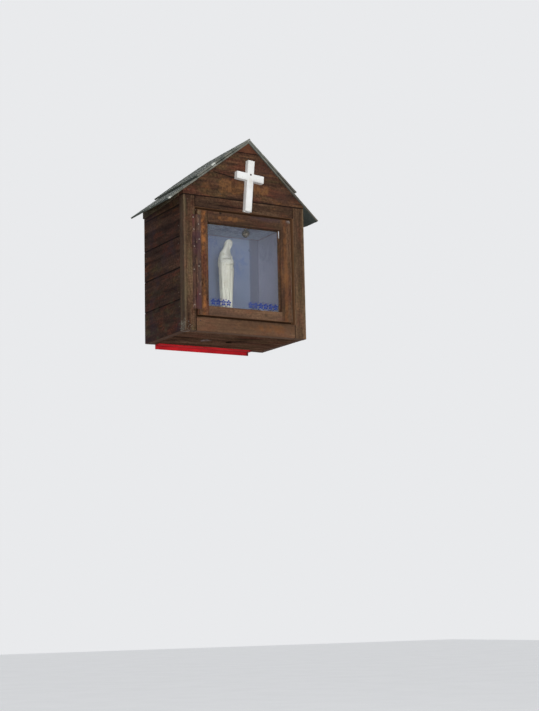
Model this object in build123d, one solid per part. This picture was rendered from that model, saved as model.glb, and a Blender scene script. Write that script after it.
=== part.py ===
from build123d import *
from math import asin, atan2, cos, pi, sin
import os

# Small gabled wayside shrine of stained boards, made to hang on an upright trunk or post.
# X runs to the right, Y from the front to the back, Z up, all in millimetres.
# Heights below are measured from the underside of the box. When a piece is written,
# it is lowered so that the origin lies on the flat back face.

# The box
BOX_WIDTH = 300.0
BOX_DEPTH = 195.0
EAVE_HEIGHT = 296.0
APEX_HEIGHT = 429.0
APEX_OFFSET = 12.0
LEFT_HEEL = 10.0
RIGHT_HEEL = 5.0
ORIGIN_HEIGHT = 172.0

# Boards of the walls and the floor
BOARD_THICKNESS = 15.0
BOARD_HEIGHT = 69.0
WALL_BOARDS = 4
BACK_BOARDS = 6
FLOOR_THICKNESS = 15.0
BOARD_ARRIS = 1.2

# The front frame, all in one plane
FRAME_THICKNESS = 18.0
POST_WIDTH = 28.0
SILL_HEIGHT = 30.0
LINTEL_HEIGHT = 26.0
GABLE_TIP_HEIGHT = 23.0
FRAME_ARRIS = 0.8

# The roof, two layers of thin sheet on each slope
SHEET_THICKNESS = 3.5
SIDE_OVERHANG = 34.0
FRONT_OVERHANG = 4.0
TRUNK_SETBACK = 8.0
UPPER_SHEET_STOP = 25.0

# The door, set flush in the front frame
DOOR_THICKNESS = 18.0
HINGE_SIDE_GAP = 5.0
FREE_SIDE_GAP = 6.0
DOOR_END_GAP = 5.0
STILE_WIDTH = 26.0
TOP_RAIL_HEIGHT = 25.0
BOTTOM_RAIL_HEIGHT = 21.0
GLASS_THICKNESS = 3.0
GLASS_SETBACK = 8.0
REBATE_WIDTH = 8.0
GLASS_PLAY = 1.0
DOOR_ARRIS = 1.0

# The long hinge on the face of the left post and the door's left stile
HINGE_LENGTH = 206.0
HINGE_LEAF_WIDTH = 10.0
HINGE_LEAF_THICKNESS = 1.0
KNUCKLE_COUNT = 11
KNUCKLE_RADIUS = 2.0
KNUCKLE_GAP = 0.3
PIN_RADIUS = 1.0
PIN_CLEARANCE = 0.05

# The lining and the ceiling of the niche, with a turned knob
LINING_THICKNESS = 3.0
CEILING_HEIGHT = 262.0
CEILING_THICKNESS = 10.0
CEILING_SETBACK = 5.0
KNOB_RADIUS = 9.0
KNOB_NECK_RADIUS = 4.0
KNOB_NECK_LENGTH = 3.0
KNOB_BANDS = 6
KNOB_RIGHT = 57.0
KNOB_BEHIND_DOOR = 82.0

# The holes for the screws that hold the box to the trunk
SCREW_RADIUS = 2.5
SCREW_SPACING = 220.0
LOWER_SCREW_HEIGHT = 50.0
UPPER_SCREW_HEIGHT = 235.0

# The red ledge under the back edge, a steel angle
LEDGE_LENGTH = 235.0
LEDGE_OFFSET = -8.0
LEDGE_DEPTH = 20.0
LEDGE_DROP = 10.0
LEDGE_THICKNESS = 3.0
LEDGE_ROOT_RADIUS = 2.5

# The white cross, from just above the door's opening to some way below the apex
CROSS_ABOVE_OPENING = 1.0
CROSS_BELOW_APEX = 42.0
CROSS_SPAN = 67.0
CROSS_BAR_WIDTH = 16.0
CROSS_THICKNESS = 13.0
CROSS_ARM_DROP = 38.0
CROSS_RIGHT = 3.0
CROSS_LEAN = 5.0
CROSS_EDGE = 1.5

# The statue: its height without the pedestal, and the pedestal that lifts it into view
STATUE_HEIGHT = 170.0
STATUE_BEHIND_DOOR = 74.0
STATUE_TURN = 20.0
PEDESTAL_HEIGHT = 44.0
PEDESTAL_FOOT_RADIUS = 26.0
PEDESTAL_FOOT_HEIGHT = 7.0
PEDESTAL_WAIST_RADIUS = 19.0
PEDESTAL_TOP_RADIUS = 21.0
PEDESTAL_TOP_HEIGHT = 5.0
PEDESTAL_STEP = 1.5
ROBE_FOLD_COUNT = 9
ROBE_FOLD_DEPTH = 0.9
CAPE_FOLD_COUNT = 7
CAPE_FOLD_DEPTH = 0.5
FOLD_POINT_COUNT = 4
FACE_POINT_COUNT = 16
HAND_POINT_COUNT = 12
ELBOW_HEIGHT = 118.0
ELBOW_SPREAD = 13.0
ELBOW_AHEAD = 2.0
ELBOW_RADIUS = 6.0
WRIST_HEIGHT = 121.0
WRIST_SPREAD = 2.0
WRIST_AHEAD = 17.0
WRIST_RADIUS = 3.4

# Cross sections of the figure, from low to high: height as a share of the statue's height,
# then half width, half depth, and how far the middle lies to the front
ROBE_SECTIONS = [
    (0.0, 17.5, 15.0, 1.0),
    (0.05, 15.2, 13.0, 0.5),
    (0.13, 14.0, 11.8, 0.5),
    (0.30, 15.4, 13.0, 1.0),
    (0.47, 17.2, 14.6, 1.4),
    (0.61, 18.8, 15.6, 1.6),
    (0.68, 17.0, 13.4, 0.5),
    (0.80, 12.0, 9.0, 0.0),
]
CAPE_SECTIONS = [
    (0.640, 18.6, 14.4, -0.6),
    (0.712, 18.6, 13.8, -1.2),
    (0.753, 17.5, 12.2, -1.8),
    (0.818, 15.2, 9.8, -0.8),
    (0.850, 11.6, 8.4, 0.2),
    (0.880, 9.0, 7.8, 2.6),
    (0.910, 8.6, 8.4, 5.6),
    (0.940, 8.9, 9.3, 8.2),
    (0.966, 8.4, 9.0, 9.6),
    (0.986, 6.2, 6.8, 10.2),
    (1.0, 2.0, 2.4, 10.4),
]
FACE_SECTIONS = [
    (0.876, 2.6, 2.6, 10.0),
    (0.886, 4.0, 4.0, 11.2),
    (0.905, 5.4, 5.2, 12.4),
    (0.930, 5.9, 5.6, 13.4),
    (0.952, 5.4, 5.0, 13.8),
    (0.966, 3.6, 3.6, 13.4),
]
HAND_SECTIONS = [
    (0.690, 3.2, 2.8, 16.4),
    (0.720, 3.0, 2.4, 17.4),
    (0.745, 2.4, 1.9, 18.0),
    (0.765, 1.2, 1.1, 18.4),
]

# Edges and faces worked out from the sizes above
half_width = BOX_WIDTH / 2
front = -BOX_DEPTH
frame_back = front + FRAME_THICKNESS
inner_half = half_width - BOARD_THICKNESS
lining_edge = inner_half - LINING_THICKNESS
board_back = -BOARD_THICKNESS
lining_front = board_back - LINING_THICKNESS
opening_half = half_width - POST_WIDTH
opening_low = SILL_HEIGHT
opening_high = EAVE_HEIGHT - LINTEL_HEIGHT
gable_joint = APEX_HEIGHT - GABLE_TIP_HEIGHT
door_left = -opening_half + HINGE_SIDE_GAP
door_right = opening_half - FREE_SIDE_GAP
door_low = opening_low + DOOR_END_GAP
door_high = opening_high - DOOR_END_GAP
door_back = front + DOOR_THICKNESS
sight_left = door_left + STILE_WIDTH
sight_right = door_right - STILE_WIDTH
sight_low = door_low + BOTTOM_RAIL_HEIGHT
sight_high = door_high - TOP_RAIL_HEIGHT
glass_front = front + GLASS_SETBACK
glass_back = glass_front + GLASS_THICKNESS
statue_near = door_back + STATUE_BEHIND_DOOR
left_heel = EAVE_HEIGHT + LEFT_HEEL
right_heel = EAVE_HEIGHT + RIGHT_HEEL
left_slope = atan2(APEX_HEIGHT - left_heel, half_width + APEX_OFFSET)
right_slope = atan2(APEX_HEIGHT - right_heel, half_width - APEX_OFFSET)


def slab(left, right, near, far, low, high):
    """A plain board between six faces."""
    corner = (Align.MIN, Align.MIN, Align.MIN)
    return Pos(left, near, low) * Box(right - left, far - near, high - low, align=corner)


def prism(outline, near, far):
    """A piece with an outline in X and Z that runs from near to far in Y."""
    face = make_face(Polyline(*outline, close=True))
    return extrude(Plane.XZ.offset(-far) * face, far - near, dir=(0, -1, 0))


def upright_hole(right, height, radius, near, far):
    """A round hole along Y, as the solid that is cut away."""
    turned = Plane(origin=(right, near, height), x_dir=(1, 0, 0), z_dir=(0, 1, 0))
    foot = (Align.CENTER, Align.CENTER, Align.MIN)
    return turned * Cylinder(radius, far - near, align=foot)


def under_roof(near, far):
    """All the space below the two slopes, used to trim the boards that reach the roof."""
    outline = [
        (-half_width, 0),
        (half_width, 0),
        (half_width, right_heel),
        (APEX_OFFSET, APEX_HEIGHT),
        (-half_width, left_heel),
    ]
    return prism(outline, near, far)


def soften(piece, facing, along, size):
    """Bevels the edges of one outer face that run along an axis; facing points at that face."""
    outer = piece.faces().sort_by(facing)[-1]
    return chamfer(outer.edges().filter_by(along), size)


def wall_boards(side):
    """The boards of one side wall, bottom one first; side is -1 on the left, 1 on the right."""
    edges = sorted([side * half_width, side * inner_half])
    facing = Axis((0, 0, 0), (side, 0, 0))
    trim = under_roof(frame_back, 0)
    boards = []
    for course in range(WALL_BOARDS):
        low = course * BOARD_HEIGHT
        last = course == WALL_BOARDS - 1
        high = APEX_HEIGHT if last else low + BOARD_HEIGHT
        board = slab(edges[0], edges[1], frame_back, 0, low, high)
        board = board & trim if last else board
        boards.append(soften(board, facing, Axis.Y, BOARD_ARRIS))
    return boards


def back_boards():
    """The boards of the back wall, between the side walls, with the screw holes through them."""
    trim = under_roof(board_back, 0)
    boards = []
    for course in range(BACK_BOARDS):
        low = course * BOARD_HEIGHT
        high = APEX_HEIGHT if course == BACK_BOARDS - 1 else low + BOARD_HEIGHT
        board = slab(-inner_half, inner_half, board_back, 0, low, high) & trim
        boards.append(soften(board, Axis.Y, Axis.X, BOARD_ARRIS) - screw_holes(board_back, 0))
    return boards


def screw_holes(near, far):
    """The four holes for the screws into the trunk, as solids that are cut away."""
    holes = []
    for height in (LOWER_SCREW_HEIGHT, UPPER_SCREW_HEIGHT):
        for right in (-SCREW_SPACING / 2, SCREW_SPACING / 2):
            holes.append(upright_hole(right, height, SCREW_RADIUS, near, far))
    return holes


def front_frame():
    """The posts, rails and gable boards of the front, with softened long edges."""
    facing = Axis((0, 0, 0), (0, -1, 0))
    trim = under_roof(front, frame_back)
    posts = {
        "left_post": slab(-half_width, -opening_half, front, frame_back, 0, EAVE_HEIGHT),
        "right_post": slab(opening_half, half_width, front, frame_back, 0, EAVE_HEIGHT),
    }
    rails = {
        "sill_rail": slab(-opening_half, opening_half, front, frame_back, 0, opening_low),
        "lintel": slab(
            -opening_half, opening_half, front, frame_back, opening_high, EAVE_HEIGHT
        ),
        "gable_board_lower": trim & slab(
            -half_width, half_width, front, frame_back, EAVE_HEIGHT, gable_joint
        ),
        "gable_board_upper": trim & slab(
            -half_width, half_width, front, frame_back, gable_joint, APEX_HEIGHT
        ),
    }
    pieces = {name: soften(piece, facing, Axis.Z, FRAME_ARRIS) for name, piece in posts.items()}
    for name, piece in rails.items():
        pieces[name] = soften(piece, facing, Axis.X, FRAME_ARRIS)
    return pieces


def sheet_outline(side, start, thickness, stop, past_apex):
    """One roof sheet's outline: its underside lies start above the boards, its eave end at stop.

    past_apex is how far the sheet runs past the apex, level with it, before it is trimmed.
    """
    slope = left_slope if side < 0 else right_slope
    under = APEX_HEIGHT + start / cos(slope)
    top = under + thickness / cos(slope)
    fall = sin(slope) / cos(slope)
    reach = side * stop - APEX_OFFSET
    beyond = -side * past_apex
    end = (APEX_OFFSET + reach, under - abs(reach) * fall)
    end_top = (end[0] + side * thickness * sin(slope), end[1] + thickness * cos(slope))
    ridge = (APEX_OFFSET + beyond, under + past_apex * fall)
    ridge_top = (APEX_OFFSET + beyond, top + past_apex * fall)
    return [end, ridge, ridge_top, end_top]


def roof_sheets():
    """The four roof sheets: the left upper one laps over the right one at the ridge."""
    near, far = front - FRONT_OVERHANG, -TRUNK_SETBACK
    eave = half_width + SIDE_OVERHANG
    stop = half_width - UPPER_SHEET_STOP
    thick = SHEET_THICKNESS
    lift = 2 * thick / cos(right_slope) - thick / cos(left_slope)
    lap = lift / (sin(left_slope) / cos(left_slope) + sin(right_slope) / cos(right_slope))
    over_ridge = prism(sheet_outline(-1, thick, 3 * thick, stop, 3 * lap), near, far)
    lower_right = prism(sheet_outline(1, 0, thick, eave, 0), near, far)
    upper_right = prism(sheet_outline(1, thick, thick, stop, 0), near, far)
    return {
        "roof_left_lower_sheet": prism(sheet_outline(-1, 0, thick, eave, 0), near, far),
        "roof_left_upper_sheet": prism(sheet_outline(-1, thick, thick, stop, lap), near, far),
        "roof_right_lower_sheet": lower_right - over_ridge,
        "roof_right_upper_sheet": upper_right - over_ridge,
    }


def door_frame():
    """The door's stiles and rails, with a rebate at the back for the glass."""
    rebate = slab(
        sight_left - REBATE_WIDTH, sight_right + REBATE_WIDTH, glass_front, door_back,
        sight_low - REBATE_WIDTH, sight_high + REBATE_WIDTH,
    )
    pieces = {
        "door_left_stile": slab(door_left, sight_left, front, door_back, door_low, door_high),
        "door_right_stile": slab(sight_right, door_right, front, door_back, door_low, door_high),
        "door_top_rail": slab(sight_left, sight_right, front, door_back, sight_high, door_high),
        "door_bottom_rail": slab(sight_left, sight_right, front, door_back, door_low, sight_low),
    }
    facing = Axis((0, 0, 0), (0, -1, 0))
    frame = {}
    for name, piece in pieces.items():
        along = Axis.Z if "stile" in name else Axis.X
        frame[name] = soften(piece, facing, along, DOOR_ARRIS) - rebate
    return frame


def glazing():
    """The pane in its rebate and the four beads that hold it."""
    edge = REBATE_WIDTH - GLASS_PLAY
    left, right = sight_left - REBATE_WIDTH, sight_right + REBATE_WIDTH
    low, high = sight_low - REBATE_WIDTH, sight_high + REBATE_WIDTH
    return {
        "glass_pane": slab(
            sight_left - edge, sight_right + edge, glass_front, glass_back,
            sight_low - edge, sight_high + edge,
        ),
        "glazing_bead_left": slab(left, sight_left, glass_back, door_back, low, high),
        "glazing_bead_right": slab(sight_right, right, glass_back, door_back, low, high),
        "glazing_bead_bottom": slab(sight_left, sight_right, glass_back, door_back, low, sight_low),
        "glazing_bead_top": slab(sight_left, sight_right, glass_back, door_back, sight_high, high),
    }


hinge_right = door_left - HINGE_SIDE_GAP / 2
hinge_near = front - KNUCKLE_RADIUS
hinge_low = (door_low + door_high - HINGE_LENGTH) / 2


def hinge_leaf(side):
    """A leaf with its knuckles: side -1 on the post, 1 on the door."""
    pitch = HINGE_LENGTH / KNUCKLE_COUNT
    bore = PIN_RADIUS + PIN_CLEARANCE
    inner = KNUCKLE_RADIUS + KNUCKLE_GAP
    plate_edges = sorted([hinge_right + side * inner, hinge_right + side * HINGE_LEAF_WIDTH])
    plate_near = front - HINGE_LEAF_THICKNESS
    leaf = slab(
        plate_edges[0], plate_edges[1], plate_near, front, hinge_low, hinge_low + HINGE_LENGTH
    )
    foot = (Align.CENTER, Align.CENTER, Align.MIN)
    tab_edges = sorted([hinge_right, hinge_right + side * inner])
    for number in range(0 if side < 0 else 1, KNUCKLE_COUNT, 2):
        low = hinge_low + number * pitch + KNUCKLE_GAP / 2
        length = pitch - KNUCKLE_GAP
        place = Pos(hinge_right, hinge_near, low)
        tab = slab(tab_edges[0], tab_edges[1], plate_near, front, low, low + length)
        leaf = leaf + tab + place * Cylinder(KNUCKLE_RADIUS, length, align=foot)
        leaf = leaf - place * Cylinder(bore, length, align=foot)
    return leaf


def hinge_pin():
    foot = (Align.CENTER, Align.CENTER, Align.MIN)
    return Pos(hinge_right, hinge_near, hinge_low) * Cylinder(PIN_RADIUS, HINGE_LENGTH, align=foot)


def lining():
    """The thin painted boards on the niche's back and sides, and its ceiling on top of them."""
    low, high = FLOOR_THICKNESS, CEILING_HEIGHT
    back = slab(-inner_half, inner_half, lining_front, board_back, low, high)
    ceiling_near = door_back + CEILING_SETBACK
    return {
        "back_lining": back - screw_holes(lining_front, board_back),
        "left_lining": slab(-inner_half, -lining_edge, frame_back, lining_front, low, high),
        "right_lining": slab(lining_edge, inner_half, frame_back, lining_front, low, high),
        "ceiling_board": slab(
            -inner_half, inner_half, ceiling_near, board_back, high, high + CEILING_THICKNESS
        ),
    }


def ceiling_knob():
    """A small turned ball on a short neck, under the ceiling."""
    turn = pi - asin(KNOB_NECK_RADIUS / KNOB_RADIUS)
    steps = [turn * band / KNOB_BANDS for band in range(KNOB_BANDS + 1)]
    ball = [(KNOB_RADIUS * sin(step), -KNOB_RADIUS * cos(step)) for step in steps]
    top = ball[-1][1] + KNOB_NECK_LENGTH
    outline = ball + [(KNOB_NECK_RADIUS, top), (0, top)]
    turned = revolve(Plane.XZ * make_face(Polyline(*outline, close=True)), Axis.Z)
    return Pos(KNOB_RIGHT, door_back + KNOB_BEHIND_DOOR, CEILING_HEIGHT - top) * turned


def ledge():
    """The steel angle under the box's back edge, one leg under it and one hanging down."""
    left = LEDGE_OFFSET - LEDGE_LENGTH / 2
    right = LEDGE_OFFSET + LEDGE_LENGTH / 2
    shelf = slab(left, right, -LEDGE_DEPTH, 0, -LEDGE_THICKNESS, 0)
    angle = shelf + slab(left, right, -LEDGE_THICKNESS, 0, -LEDGE_DROP, 0)
    root = angle.edges().filter_by(Axis.X).sort_by_distance(
        (0, -LEDGE_THICKNESS, -LEDGE_THICKNESS)
    )[0]
    return fillet(root, LEDGE_ROOT_RADIUS)


def cross():
    """The cross, two bars in one piece, leaning a little, flat on the gable."""
    low = opening_high + CROSS_ABOVE_OPENING
    height = APEX_HEIGHT - CROSS_BELOW_APEX - low
    upright = Pos(0, height / 2) * Rectangle(CROSS_BAR_WIDTH, height)
    arms = Pos(0, height - CROSS_ARM_DROP) * Rectangle(CROSS_SPAN, CROSS_BAR_WIDTH)
    place = Plane.XZ.offset(-front) * Pos(CROSS_RIGHT, low) * Rot(0, 0, -CROSS_LEAN)
    body = extrude(place * (upright + arms), CROSS_THICKNESS, dir=(0, -1, 0))
    return chamfer(body.edges().group_by(Axis.Y)[0], CROSS_EDGE)


def oval(wide, deep, count, folds=0, fold_depth=0.0):
    """A closed oval of straight sides, with shallow upright folds round it."""
    points = []
    for number in range(count):
        turn = 2 * pi * number / count
        swell = fold_depth * cos(folds * turn)
        points.append(((wide + swell) * cos(turn), (deep + swell) * sin(turn)))
    return make_face(Polyline(*points, close=True))


def figure_form(sections, count, folds=0, fold_depth=0.0):
    """A form that follows oval cross sections upwards, each with its own size and place.

    The folds are deepest at the lowest section and fade out at the highest one.
    """
    faces = []
    for number, (share, wide, deep, ahead) in enumerate(sections):
        fade = 1 - number / (len(sections) - 1)
        outline = oval(wide, deep, count, folds, fold_depth * fade)
        faces.append(Pos(0, -ahead, share * STATUE_HEIGHT) * outline)
    return loft(faces, ruled=True)


def sleeve(side):
    """A sleeve that narrows from the elbow to the joined hands; side is -1 or 1."""
    elbow = Vector(side * ELBOW_SPREAD, -ELBOW_AHEAD, ELBOW_HEIGHT)
    wrist = Vector(side * WRIST_SPREAD, -WRIST_AHEAD, WRIST_HEIGHT)
    along = wrist - elbow
    ends = [
        Plane(origin=spot, z_dir=along) * RegularPolygon(radius, HAND_POINT_COUNT)
        for spot, radius in ((elbow, ELBOW_RADIUS), (wrist, WRIST_RADIUS))
    ]
    return loft(ends, ruled=True)


def pedestal():
    """The statue's own turned pedestal, with a wide foot and a cap."""
    waist_low = PEDESTAL_FOOT_HEIGHT + PEDESTAL_STEP
    waist_high = PEDESTAL_HEIGHT - PEDESTAL_TOP_HEIGHT - PEDESTAL_STEP
    outline = [
        (0, 0),
        (PEDESTAL_FOOT_RADIUS, 0),
        (PEDESTAL_FOOT_RADIUS, PEDESTAL_FOOT_HEIGHT),
        (PEDESTAL_WAIST_RADIUS + PEDESTAL_STEP, PEDESTAL_FOOT_HEIGHT),
        (PEDESTAL_WAIST_RADIUS, waist_low),
        (PEDESTAL_WAIST_RADIUS, waist_high),
        (PEDESTAL_TOP_RADIUS, waist_high + PEDESTAL_STEP),
        (PEDESTAL_TOP_RADIUS, PEDESTAL_HEIGHT),
        (0, PEDESTAL_HEIGHT),
    ]
    return revolve(Plane.XZ * make_face(Polyline(*outline, close=True)), Axis.Z)


def statue():
    """A veiled figure that stands with joined hands and bowed head, in one piece with its base."""
    robe_points = ROBE_FOLD_COUNT * FOLD_POINT_COUNT
    cape_points = CAPE_FOLD_COUNT * FOLD_POINT_COUNT
    figure = figure_form(ROBE_SECTIONS, robe_points, ROBE_FOLD_COUNT, ROBE_FOLD_DEPTH)
    figure += figure_form(CAPE_SECTIONS, cape_points, CAPE_FOLD_COUNT, CAPE_FOLD_DEPTH)
    figure += figure_form(FACE_SECTIONS, FACE_POINT_COUNT)
    figure += sleeve(-1) + sleeve(1)
    figure += figure_form(HAND_SECTIONS, HAND_POINT_COUNT)
    raised = pedestal() + Pos(0, 0, PEDESTAL_HEIGHT) * Rot(0, 0, STATUE_TURN) * figure
    return Pos(0, statue_near, FLOOR_THICKNESS) * raised


nodes = {"floor_board": slab(
    -inner_half, inner_half, frame_back, board_back, 0, FLOOR_THICKNESS
)}
for side, word in ((-1, "left"), (1, "right")):
    for number, board in enumerate(wall_boards(side), start=1):
        nodes[f"{word}_wall_board_{number}"] = board
for number, board in enumerate(back_boards(), start=1):
    nodes[f"back_board_{number}"] = board
nodes.update(front_frame())
nodes.update(roof_sheets())
nodes.update(lining())
nodes["ceiling_knob"] = ceiling_knob()
nodes["support_ledge"] = ledge()
nodes["cross"] = cross()
nodes["statue"] = statue()
nodes.update(door_frame())
nodes.update(glazing())
nodes["hinge_leaf_post"] = hinge_leaf(-1)
nodes["hinge_leaf_door"] = hinge_leaf(1)
nodes["hinge_pin"] = hinge_pin()

os.makedirs("parts", exist_ok=True)
for name, solid in nodes.items():
    export_step(Pos(0, 0, -ORIGIN_HEIGHT) * solid, f"parts/{name}.step")
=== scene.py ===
import bpy
import bmesh
import random
from math import atan2, cos, pi, radians, sin
from mathutils import Matrix, Vector, noise


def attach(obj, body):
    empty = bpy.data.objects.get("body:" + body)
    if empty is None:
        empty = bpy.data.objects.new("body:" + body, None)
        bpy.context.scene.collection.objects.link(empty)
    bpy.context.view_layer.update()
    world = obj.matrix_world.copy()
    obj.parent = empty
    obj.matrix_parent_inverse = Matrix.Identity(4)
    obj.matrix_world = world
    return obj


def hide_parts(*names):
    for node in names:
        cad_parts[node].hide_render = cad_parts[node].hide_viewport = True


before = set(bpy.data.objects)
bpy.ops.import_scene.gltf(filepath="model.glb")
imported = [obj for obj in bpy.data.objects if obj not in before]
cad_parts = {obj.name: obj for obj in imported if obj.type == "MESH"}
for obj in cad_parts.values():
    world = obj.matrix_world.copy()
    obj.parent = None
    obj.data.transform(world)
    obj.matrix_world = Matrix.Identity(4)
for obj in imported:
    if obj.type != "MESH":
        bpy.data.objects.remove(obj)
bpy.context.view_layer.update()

# Sizes below are in millimetres with heights from the underside of the box, as in the
# part's source. seat() turns a finished form into metres in the shared frame.
UNDERSIDE = 172
BOARD_HEIGHT = 69
HALF_WIDTH = 150
FRONT = -195
APEX_RIGHT = 12
APEX_HEIGHT = 429
GABLE_JOINT = 406
EAVE = 296
HEEL = {-1: 306, 1: 301}
SHEET = 3.5
SHEET_NEAR = -199
SHEET_FAR = -8
EAVE_STOP = 184
SHEET_CUTS = (60, 48)
OPENING_HALF = 122
OPENING_HIGH = 270
SILL_TOP = 30
DOOR_RIGHT = 116
DOOR_LOW = 35
DOOR_BACK = -177
LINING_EDGE = 132
FLOOR_TOP = 15
GLASS_FRONT = -187
STATUE_NEAR = -103
STATUE_TURN = 20
PEDESTAL_HEIGHT = 44
FIGURE_HEIGHT = 170
GABLE_RAKE = 0.82
NAIL_INSET = 12
CEILING = 262
CEILING_NEAR = -172
KNOB_RADIUS = 9
KNOB_TOP = 11.06
KNOB_RIGHT = 57
KNOB_NEAR = -95

chance = random.Random(7)


def linear(tone):
    """The renderer's linear colour for a tone as a screen shows it, 0 to 255.

    Four values are linear already.
    """
    if len(tone) == 4:
        return tone
    parts = [value / 255 for value in tone]
    return (*(p / 12.92 if p <= 0.04045 else ((p + 0.055) / 1.055) ** 2.4 for p in parts), 1)


# ---- finishes


class Finish:
    """A material under the brush: short calls for the nodes that the finishes here use."""

    def __init__(self, name, roughness=0.6, gloss=0.2):
        self.material = bpy.data.materials.new(name)
        self.material.use_nodes = True
        self.tree = self.material.node_tree
        self.surface = self.tree.nodes["Principled BSDF"]
        self.surface.inputs["Roughness"].default_value = roughness
        self.surface.inputs["Specular IOR Level"].default_value = gloss
        self.place = self.tree.nodes.new("ShaderNodeTexCoord").outputs["Object"]
        self.axes = {}
        self.coat = None

    def put(self, kind, **values):
        node = self.tree.nodes.new(kind)
        for key, value in values.items():
            setattr(node, key, value)
        return node

    def feed(self, socket, value):
        if isinstance(value, bpy.types.NodeSocket):
            self.tree.links.new(value, socket)
        else:
            socket.default_value = value

    def math(self, operation, first, second=0, third=None):
        node = self.put("ShaderNodeMath", operation=operation)
        self.feed(node.inputs[0], first)
        self.feed(node.inputs[1], second)
        if third is not None:
            self.feed(node.inputs[2], third)
        return node.outputs[0]

    def times(self, first, second):
        return self.math("MULTIPLY", first, second)

    def less(self, first, second):
        return self.math("SUBTRACT", first, second)

    def axis(self, letter):
        """Where a point lies along X, Y or Z, in millimetres from the underside of the box."""
        if letter not in self.axes:
            split = self.put("ShaderNodeSeparateXYZ")
            self.feed(split.inputs[0], self.place)
            start = UNDERSIDE if letter == "Z" else 0
            self.axes[letter] = self.math("MULTIPLY_ADD", split.outputs[letter], 1000, start)
        return self.axes[letter]

    def stretched(self, x, y, z):
        """Object coordinates with this many pattern units per metre along each axis."""
        node = self.put("ShaderNodeMapping")
        self.feed(node.inputs["Vector"], self.place)
        node.inputs["Scale"].default_value = (x, y, z)
        return node.outputs[0]

    def cloud(self, x, y, z, detail=4, roughness=0.55, seed=0):
        node = self.put("ShaderNodeTexNoise", noise_dimensions="4D")
        self.feed(node.inputs["Vector"], self.stretched(x, y, z))
        self.feed(node.inputs["W"], seed)
        node.inputs["Scale"].default_value = 1
        node.inputs["Detail"].default_value = detail
        node.inputs["Roughness"].default_value = roughness
        return node.outputs[0]

    def spread(self, value, low, high, to_low=0, to_high=1):
        """Low and high of a value become to_low and to_high, clamped."""
        node = self.put("ShaderNodeMapRange", interpolation_type="SMOOTHSTEP")
        self.feed(node.inputs["Value"], value)
        for key, number in (
            ("From Min", low), ("From Max", high), ("To Min", to_low), ("To Max", to_high)
        ):
            node.inputs[key].default_value = number
        return node.outputs["Result"]

    def away(self, letter, middle):
        """How far a point lies from a place along an axis."""
        return self.math("ABSOLUTE", self.less(self.axis(letter), middle))

    def along(self, letter, low, high, to_low=0, to_high=1):
        """What spread() makes of the place along an axis."""
        return self.spread(self.axis(letter), low, high, to_low, to_high)

    def stops(self, value, *stops):
        node = self.put("ShaderNodeValToRGB")
        self.feed(node.inputs[0], value)
        ramp = node.color_ramp
        while len(ramp.elements) < len(stops):
            ramp.elements.new(0.5)
        for element, (position, colour) in zip(ramp.elements, stops):
            element.position = position
            element.color = linear(colour)
        return node.outputs[0]

    def paint(self, colour, share=None, way="MIX"):
        """Lays a tone, or a colour that nodes give, over the coat so far, where share is 1."""
        if not isinstance(colour, bpy.types.NodeSocket):
            colour = linear(colour)
        if share is None:
            self.coat = colour
        else:
            node = self.put("ShaderNodeMix", data_type="RGBA", blend_type=way)
            self.feed(node.inputs[0], share)
            self.feed(node.inputs[6], self.coat)
            self.feed(node.inputs[7], colour)
            self.coat = node.outputs[2]
        self.feed(self.surface.inputs["Base Color"], self.coat)

    def roughness(self, value):
        self.feed(self.surface.inputs["Roughness"], value)

    def relief(self, height, depth):
        """Bumps of this depth in metres, over those that are there already."""
        node = self.put("ShaderNodeBump")
        node.inputs["Strength"].default_value = 1
        node.inputs["Distance"].default_value = depth
        self.feed(node.inputs["Height"], height)
        socket = self.surface.inputs["Normal"]
        if socket.is_linked:
            self.feed(node.inputs["Normal"], socket.links[0].from_socket)
        self.feed(socket, node.outputs[0])

    def within(self, letter, low, high, soft=3):
        """1 between two places along an axis, with soft limits."""
        above = self.along(letter, low - soft, low + soft)
        below = self.along(letter, high - soft, high + soft, 1, 0)
        return self.times(above, below)

    def spot(self, across, up, ragged=0.8, seed=0, plane="XZ"):
        """1 inside a ragged oval; across and up are each a middle and a reach in the plane."""
        squares = []
        for letter, (middle, reach) in zip(plane, (across, up)):
            away = self.math("DIVIDE", self.less(self.axis(letter), middle), reach)
            squares.append(self.times(away, away))
        distance = self.math("SQRT", self.math("ADD", *squares))
        rough = self.less(self.cloud(80, 80, 80, detail=5, seed=seed), 0.5)
        distance = self.math("MULTIPLY_ADD", rough, ragged * 2, distance)
        return self.spread(distance, 0.5, 1.2, 1, 0)

    def band(self, letter, middle, reach, ragged=1.5, seed=0):
        """1 within reach of a place along an axis, with a ragged limit."""
        away = self.away(letter, middle)
        rough = self.less(self.cloud(120, 120, 120, detail=4, seed=seed), 0.5)
        away = self.math("MULTIPLY_ADD", rough, ragged * 4, away)
        return self.spread(away, reach - ragged, reach + ragged, 1, 0)

    def crack(self, left, right, seed):
        """1 on a thin wandering line over the front, between two places (X, height)."""
        tilt = (right[1] - left[1]) / (right[0] - left[0])
        line = self.math("MULTIPLY_ADD", self.axis("X"), tilt, left[1] - tilt * left[0])
        wander = self.less(self.cloud(22, 22, 22, detail=5, seed=seed), 0.5)
        away = self.less(self.axis("Z"), line)
        away = self.math("ABSOLUTE", self.math("MULTIPLY_ADD", wander, 7, away))
        thin = self.spread(away, 0.36, 1.35, 1, 0)
        return self.times(thin, self.within("X", left[0], right[0]))


    def mottled(self, place, strength, seed):
        """A worn place broken up by what is left of the stain."""
        left = self.cloud(110, 110, 110, detail=6, roughness=0.7, seed=seed + 0.5)
        return self.times(place, self.spread(left, 0.4, 0.6, 0.15, strength))

    def tint(self, colour, scales, low, high, strength=1, **kind):
        """Lays a colour on in clouds, which start at low and are full at high."""
        share = self.spread(self.cloud(*scales, **kind), low, high, 0, strength)
        self.paint(colour, share)
        return share

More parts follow.
